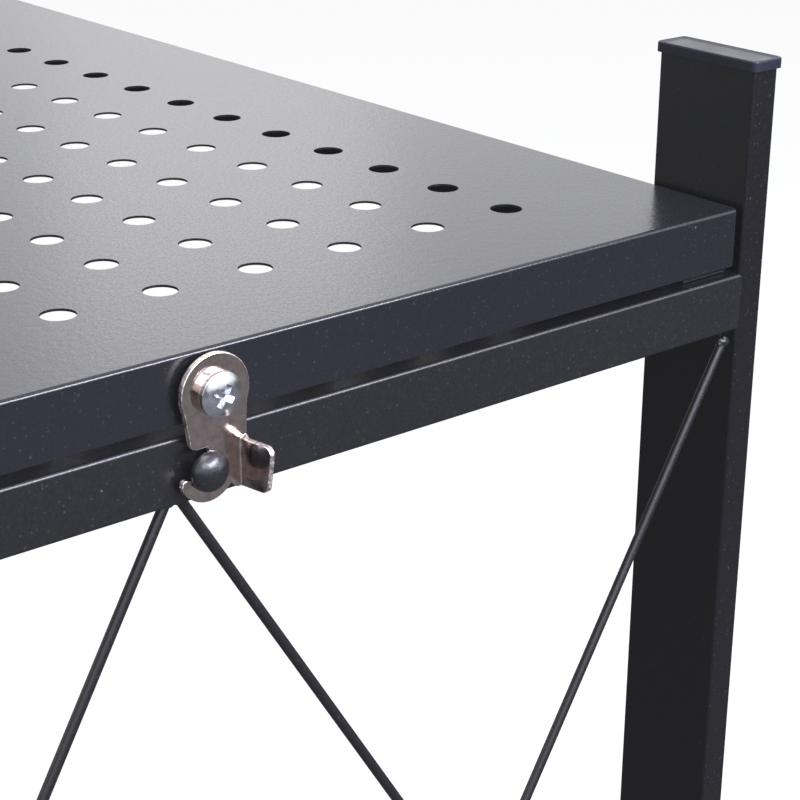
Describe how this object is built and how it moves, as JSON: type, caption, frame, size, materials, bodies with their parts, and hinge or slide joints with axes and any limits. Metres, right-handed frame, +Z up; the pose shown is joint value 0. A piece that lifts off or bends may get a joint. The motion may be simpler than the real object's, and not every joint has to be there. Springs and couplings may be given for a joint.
{
  "type": "folding side table",
  "caption": "Low folding side table: perforated sheet-metal deck on two wire-braced end frames that fold flat under it, held upright by hook latches.",
  "frame": {"origin": "on the floor under the middle of the table", "axes": "+Z up, +Y along the deck towards its rear end, +X across it to the right as seen from the front end"},
  "size_m": [0.3528, 0.7572, 0.3876],
  "materials": {
    "powder_coat": "fine-textured dark charcoal powder coat",
    "black_plastic": "moulded satin",
    "nickel_plate": "satin nickel plate",
    "zinc_plate": "bright zinc plate"
  },
  "bodies": {
    "deck": {"deck_tray": "powder_coat", "latch_nut_front": "zinc_plate", "latch_nut_rear": "zinc_plate", "latch_screw_front": "zinc_plate", "latch_screw_rear": "zinc_plate", "latch_spacer_front": "zinc_plate", "latch_spacer_rear": "zinc_plate", "latch_washer_front": "nickel_plate", "latch_washer_rear": "nickel_plate", "pivot_bolt_front_left": "zinc_plate", "pivot_bolt_front_right": "zinc_plate", "pivot_bolt_rear_left": "zinc_plate", "pivot_bolt_rear_right": "zinc_plate", "pivot_nut_front_left": "zinc_plate", "pivot_nut_front_right": "zinc_plate", "pivot_nut_rear_left": "zinc_plate", "pivot_nut_rear_right": "zinc_plate", "pivot_washer_front_left": "zinc_plate", "pivot_washer_front_right": "zinc_plate", "pivot_washer_rear_left": "zinc_plate", "pivot_washer_rear_right": "zinc_plate"},
    "leg_frame_front": {"brace_front_left_falling": "powder_coat", "brace_front_left_rising": "powder_coat", "brace_front_right_falling": "powder_coat", "brace_front_right_rising": "powder_coat", "foot_front_left": "black_plastic", "foot_front_right": "black_plastic", "latch_stud_front": "powder_coat", "lower_bar_front": "powder_coat", "post_cap_front_left": "black_plastic", "post_cap_front_right": "black_plastic", "post_front_left": "powder_coat", "post_front_right": "powder_coat", "top_bar_front": "powder_coat"},
    "leg_frame_rear": {"brace_rear_left_falling": "powder_coat", "brace_rear_left_rising": "powder_coat", "brace_rear_right_falling": "powder_coat", "brace_rear_right_rising": "powder_coat", "foot_rear_left": "black_plastic", "foot_rear_right": "black_plastic", "latch_stud_rear": "powder_coat", "lower_bar_rear": "powder_coat", "post_cap_rear_left": "black_plastic", "post_cap_rear_right": "black_plastic", "post_rear_left": "powder_coat", "post_rear_right": "powder_coat", "top_bar_rear": "powder_coat"},
    "latch_front": {"latch_front": "nickel_plate"},
    "latch_rear": {"latch_rear": "nickel_plate"}
  },
  "joints": [
    {"name": "fold_front", "type": "hinge", "parent": "deck", "child": "leg_frame_front", "pos_m": [0, -0.3457, 0.341], "axis": [1, 0, 0], "range_deg": [0, 90]},
    {"name": "fold_rear", "type": "hinge", "parent": "deck", "child": "leg_frame_rear", "pos_m": [0, 0.3457, 0.341], "axis": [-1, 0, 0], "range_deg": [0, 90]},
    {"name": "latch_front_turn", "type": "hinge", "parent": "deck", "child": "latch_front", "pos_m": [0, -0.3662, 0.3412], "axis": [0, -1, 0], "range_deg": [0, 60]},
    {"name": "latch_rear_turn", "type": "hinge", "parent": "deck", "child": "latch_rear", "pos_m": [0, 0.3662, 0.3412], "axis": [0, 1, 0], "range_deg": [0, 60]}
  ]
}
